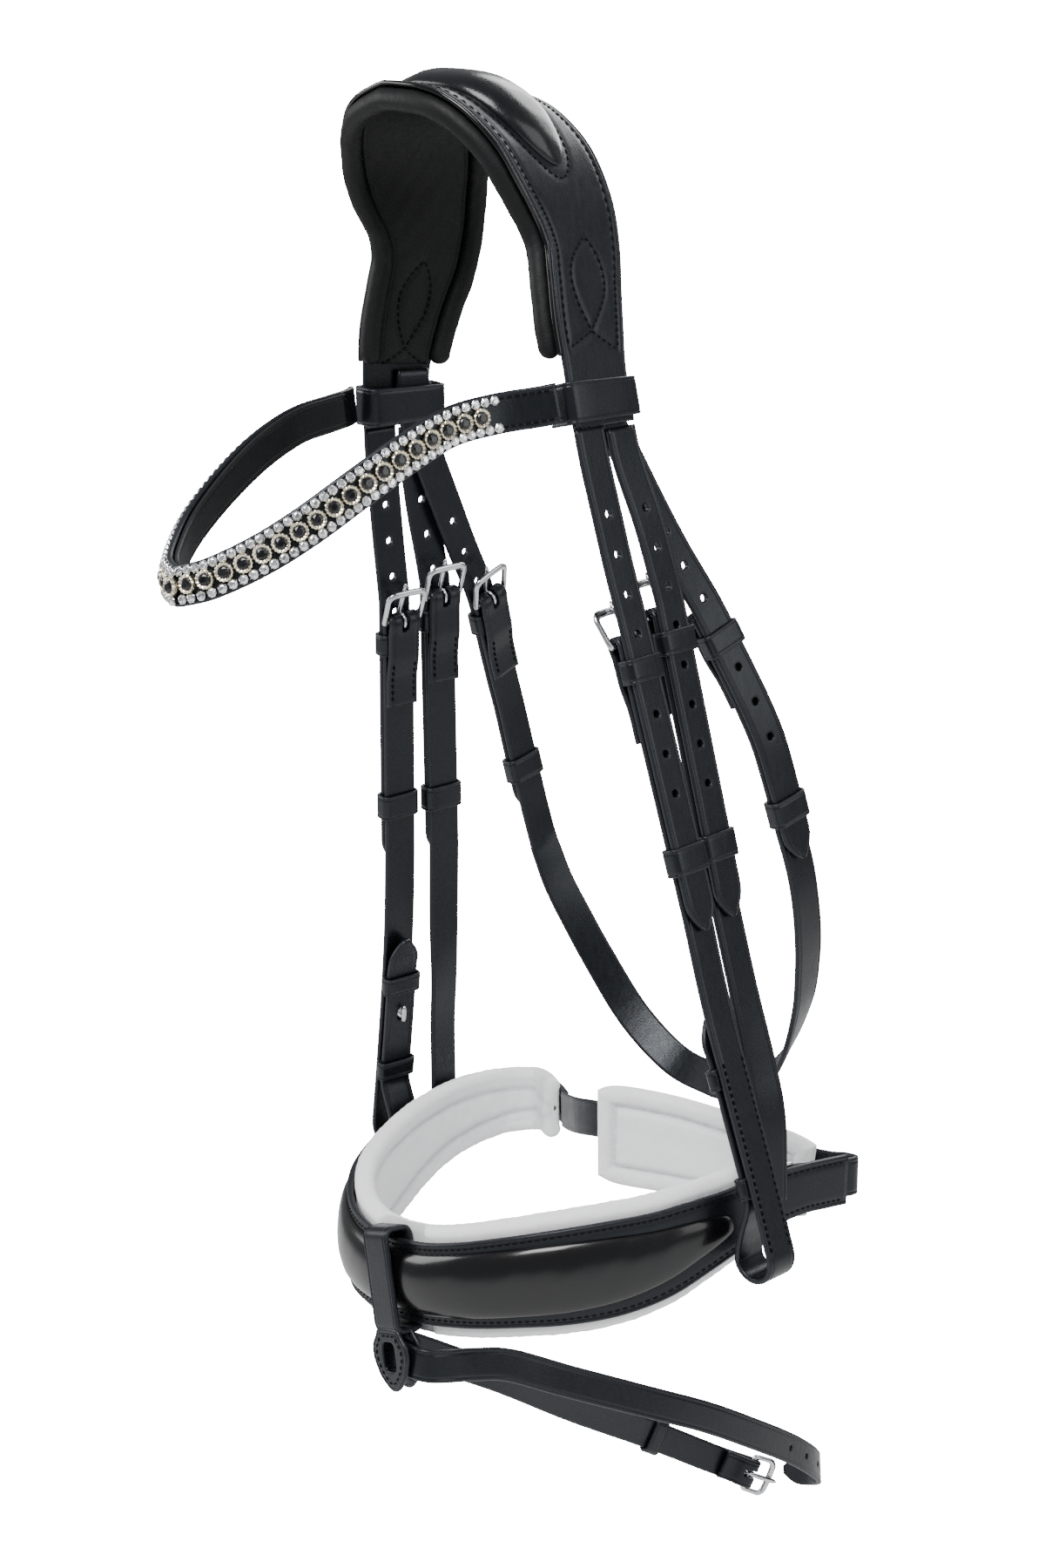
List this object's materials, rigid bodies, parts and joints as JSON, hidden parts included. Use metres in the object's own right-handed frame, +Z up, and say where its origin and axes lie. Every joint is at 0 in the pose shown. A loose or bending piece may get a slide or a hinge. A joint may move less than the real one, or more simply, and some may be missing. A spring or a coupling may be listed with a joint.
{
  "type": "snaffle bridle",
  "caption": "Padded-headpiece snaffle bridle without bit or reins: jewelled V browband, cheekpieces, throatlatch, white-padded crank noseband and flash strap.",
  "frame": {"origin": "the point on the underside of the headpiece where it rests on the horse's poll", "axes": "+Z up the hanging bridle, -Y towards the browband (the front of the horse's face), +X the near (left) side"},
  "size_m": [0.2714, 0.3511, 0.666],
  "materials": {
    "bridle_leather": "waxed smooth bridle leather with creased edges",
    "smooth_leather": "stretched smooth leather over padding",
    "patent_leather": "mirror-gloss patent leather",
    "black_lining": "soft matt lining leather",
    "white_padding": "soft white lining leather, padded",
    "buckle_steel": "polished stainless steel",
    "cup_metal": "pale gilt cups with a beaded rim",
    "black_stone": "faceted black stones",
    "clear_crystal": "faceted clear crystals"
  },
  "bodies": {
    "headpiece": {"crown_strap": "bridle_leather", "crown_lining": "black_lining", "lining_roll_front": "black_lining", "lining_roll_back": "black_lining", "patent_piping": "patent_leather", "poll_dome": "smooth_leather", "throat_billet_near": "bridle_leather", "throat_billet_far": "bridle_leather", "hanger_strap_near": "bridle_leather", "hanger_keeper_near": "bridle_leather", "hanger_strap_far": "bridle_leather", "hanger_keeper_far": "bridle_leather", "throat_strap": "bridle_leather", "throat_keeper_near": "bridle_leather", "throat_keeper_far": "bridle_leather", "nose_band": "bridle_leather", "nose_dome": "smooth_leather", "nose_lining": "white_padding", "jaw_strap": "bridle_leather", "chin_pad": "white_padding"},
    "browband": {"browband_strap": "bridle_leather", "browband_lining": "black_lining", "browband_loop_near": "bridle_leather", "browband_loop_far": "bridle_leather", "stone_cups": "cup_metal", "black_stones": "black_stone", "crystal_rows": "clear_crystal"},
    "cheek_near": {"cheek_strap_near": "bridle_leather", "cheek_keeper_near": "bridle_leather", "hook_stud_near": "buckle_steel", "bit_keepers_near": "bridle_leather"},
    "cheek_frame_near": {"cheek_frame_near": "buckle_steel"},
    "cheek_tongue_near": {"cheek_tongue_near": "buckle_steel"},
    "cheek_runner_near": {"cheek_runner_near": "bridle_leather"},
    "hanger_frame_near": {"hanger_frame_near": "buckle_steel"},
    "hanger_tongue_near": {"hanger_tongue_near": "buckle_steel"},
    "hanger_runner_near": {"hanger_runner_near": "bridle_leather"},
    "throat_frame_near": {"throat_frame_near": "buckle_steel"},
    "throat_tongue_near": {"throat_tongue_near": "buckle_steel"},
    "throat_runner_near": {"throat_runner_near": "bridle_leather"},
    "cheek_far": {"cheek_strap_far": "bridle_leather", "cheek_keeper_far": "bridle_leather", "hook_stud_far": "buckle_steel", "bit_keepers_far": "bridle_leather"},
    "cheek_frame_far": {"cheek_frame_far": "buckle_steel"},
    "cheek_tongue_far": {"cheek_tongue_far": "buckle_steel"},
    "cheek_runner_far": {"cheek_runner_far": "bridle_leather"},
    "hanger_frame_far": {"hanger_frame_far": "buckle_steel"},
    "hanger_tongue_far": {"hanger_tongue_far": "buckle_steel"},
    "hanger_runner_far": {"hanger_runner_far": "bridle_leather"},
    "throat_frame_far": {"throat_frame_far": "buckle_steel"},
    "throat_tongue_far": {"throat_tongue_far": "buckle_steel"},
    "throat_runner_far": {"throat_runner_far": "bridle_leather"},
    "crank_frame": {"crank_frame": "buckle_steel"},
    "crank_tongue": {"crank_tongue": "buckle_steel"},
    "flash_carrier": {"flash_carrier": "bridle_leather"},
    "flash_strap": {"flash_strap": "bridle_leather"},
    "flash_frame": {"flash_frame": "buckle_steel"},
    "flash_tongue": {"flash_tongue": "buckle_steel"},
    "flash_runner": {"flash_runner": "bridle_leather"}
  },
  "joints": [
    {"name": "browband_slide", "type": "slide", "parent": "headpiece", "child": "browband", "axis": [0, 0, 1], "range_m": [-0.003, 0.003]},
    {"name": "cheek_slide_near", "type": "slide", "parent": "headpiece", "child": "cheek_near", "axis": [-0.1909, -0.1456, 0.9707], "range_m": [-0.0165, 0.0165]},
    {"name": "cheek_frame_near_turn", "type": "hinge", "parent": "cheek_near", "child": "cheek_frame_near", "pos_m": [0.07499, 0.0281, -0.21514], "axis": [-0.0718, 0.987, 0.144], "range_deg": [-25, 0]},
    {"name": "cheek_tongue_near_turn", "type": "hinge", "parent": "cheek_frame_near", "child": "cheek_tongue_near", "pos_m": [0.07499, 0.0281, -0.21514], "axis": [-0.0718, 0.987, 0.144], "range_deg": [0, 6]},
    {"name": "cheek_runner_near_slide", "type": "slide", "parent": "cheek_near", "child": "cheek_runner_near", "axis": [-0.1909, -0.1456, 0.9707], "range_m": [-0.008, 0.008]},
    {"name": "hanger_frame_near_turn", "type": "hinge", "parent": "headpiece", "child": "hanger_frame_near", "pos_m": [0.0725, 0.04936, -0.20489], "axis": [-0.0724, 0.9862, 0.1488], "range_deg": [-25, 0]},
    {"name": "hanger_tongue_near_turn", "type": "hinge", "parent": "hanger_frame_near", "child": "hanger_tongue_near", "pos_m": [0.0725, 0.04936, -0.20489], "axis": [-0.0724, 0.9862, 0.1488], "range_deg": [0, 6]},
    {"name": "hanger_runner_near_slide", "type": "slide", "parent": "headpiece", "child": "hanger_runner_near", "axis": [-0.1511, -0.1387, 0.9787], "range_m": [-0.008, 0.008]},
    {"name": "throat_frame_near_turn", "type": "hinge", "parent": "headpiece", "child": "throat_frame_near", "pos_m": [0.07009, 0.07505, -0.20694], "axis": [0.0227, 0.8894, 0.4566], "range_deg": [-25, 0]},
    {"name": "throat_tongue_near_turn", "type": "hinge", "parent": "throat_frame_near", "child": "throat_tongue_near", "pos_m": [0.07009, 0.07505, -0.20694], "axis": [0.0227, 0.8894, 0.4566], "range_deg": [0, 6]},
    {"name": "throat_runner_near_slide", "type": "slide", "parent": "headpiece", "child": "throat_runner_near", "axis": [-0.0421, -0.313, 0.9488], "range_m": [-0.006, 0.006]},
    {"name": "cheek_slide_far", "type": "slide", "parent": "headpiece", "child": "cheek_far", "axis": [0.1909, -0.1456, 0.9707], "range_m": [-0.0165, 0.0165]},
    {"name": "cheek_frame_far_turn", "type": "hinge", "parent": "cheek_far", "child": "cheek_frame_far", "pos_m": [-0.07499, 0.0281, -0.21514], "axis": [-0.0718, -0.987, -0.144], "range_deg": [-25, 0]},
    {"name": "cheek_tongue_far_turn", "type": "hinge", "parent": "cheek_frame_far", "child": "cheek_tongue_far", "pos_m": [-0.07499, 0.0281, -0.21514], "axis": [-0.0718, -0.987, -0.144], "range_deg": [0, 6]},
    {"name": "cheek_runner_far_slide", "type": "slide", "parent": "cheek_far", "child": "cheek_runner_far", "axis": [0.1909, -0.1456, 0.9707], "range_m": [-0.008, 0.008]},
    {"name": "hanger_frame_far_turn", "type": "hinge", "parent": "headpiece", "child": "hanger_frame_far", "pos_m": [-0.0725, 0.04936, -0.20489], "axis": [-0.0724, -0.9862, -0.1488], "range_deg": [-25, 0]},
    {"name": "hanger_tongue_far_turn", "type": "hinge", "parent": "hanger_frame_far", "child": "hanger_tongue_far", "pos_m": [-0.0725, 0.04936, -0.20489], "axis": [-0.0724, -0.9862, -0.1488], "range_deg": [0, 6]},
    {"name": "hanger_runner_far_slide", "type": "slide", "parent": "headpiece", "child": "hanger_runner_far", "axis": [0.1511, -0.1387, 0.9787], "range_m": [-0.008, 0.008]},
    {"name": "throat_frame_far_turn", "type": "hinge", "parent": "headpiece", "child": "throat_frame_far", "pos_m": [-0.07009, 0.07505, -0.20694], "axis": [0.0227, -0.8894, -0.4566], "range_deg": [-25, 0]},
    {"name": "throat_tongue_far_turn", "type": "hinge", "parent": "throat_frame_far", "child": "throat_tongue_far", "pos_m": [-0.07009, 0.07505, -0.20694], "axis": [0.0227, -0.8894, -0.4566], "range_deg": [0, 6]},
    {"name": "throat_runner_far_slide", "type": "slide", "parent": "headpiece", "child": "throat_runner_far", "axis": [0.0421, -0.313, 0.9488], "range_m": [-0.006, 0.006]},
    {"name": "crank_frame_turn", "type": "hinge", "parent": "headpiece", "child": "crank_frame", "pos_m": [0.10191, 0.10029, -0.4495], "axis": [0.0028, 0.0279, -0.9996], "range_deg": [-20, 20]},
    {"name": "crank_tongue_turn", "type": "hinge", "parent": "crank_frame", "child": "crank_tongue", "pos_m": [0.10191, 0.10029, -0.4495], "axis": [0.0028, 0.0279, -0.9996], "range_deg": [0, 8]},
    {"name": "flash_carrier_slide", "type": "slide", "parent": "headpiece", "child": "flash_carrier", "axis": [1, 0, 0], "range_m": [-0.004, 0.004]},
    {"name": "flash_strap_swing", "type": "hinge", "parent": "flash_carrier", "child": "flash_strap", "pos_m": [0.0066, -0.0385, -0.519], "axis": [0, 1, 0], "range_deg": [-4, 4]},
    {"name": "flash_frame_turn", "type": "hinge", "parent": "flash_strap", "child": "flash_frame", "pos_m": [-0.00474, 0.18511, -0.63808], "axis": [-0.1529, -0.3949, -0.9059], "range_deg": [-20, 20]},
    {"name": "flash_tongue_turn", "type": "hinge", "parent": "flash_frame", "child": "flash_tongue", "pos_m": [-0.00474, 0.18511, -0.63808], "axis": [-0.1529, -0.3949, -0.9059], "range_deg": [0, 8]},
    {"name": "flash_runner_slide", "type": "slide", "parent": "flash_strap", "child": "flash_runner", "axis": [-0.0176, -0.8735, 0.4864], "range_m": [-0.008, 0.008]}
  ]
}
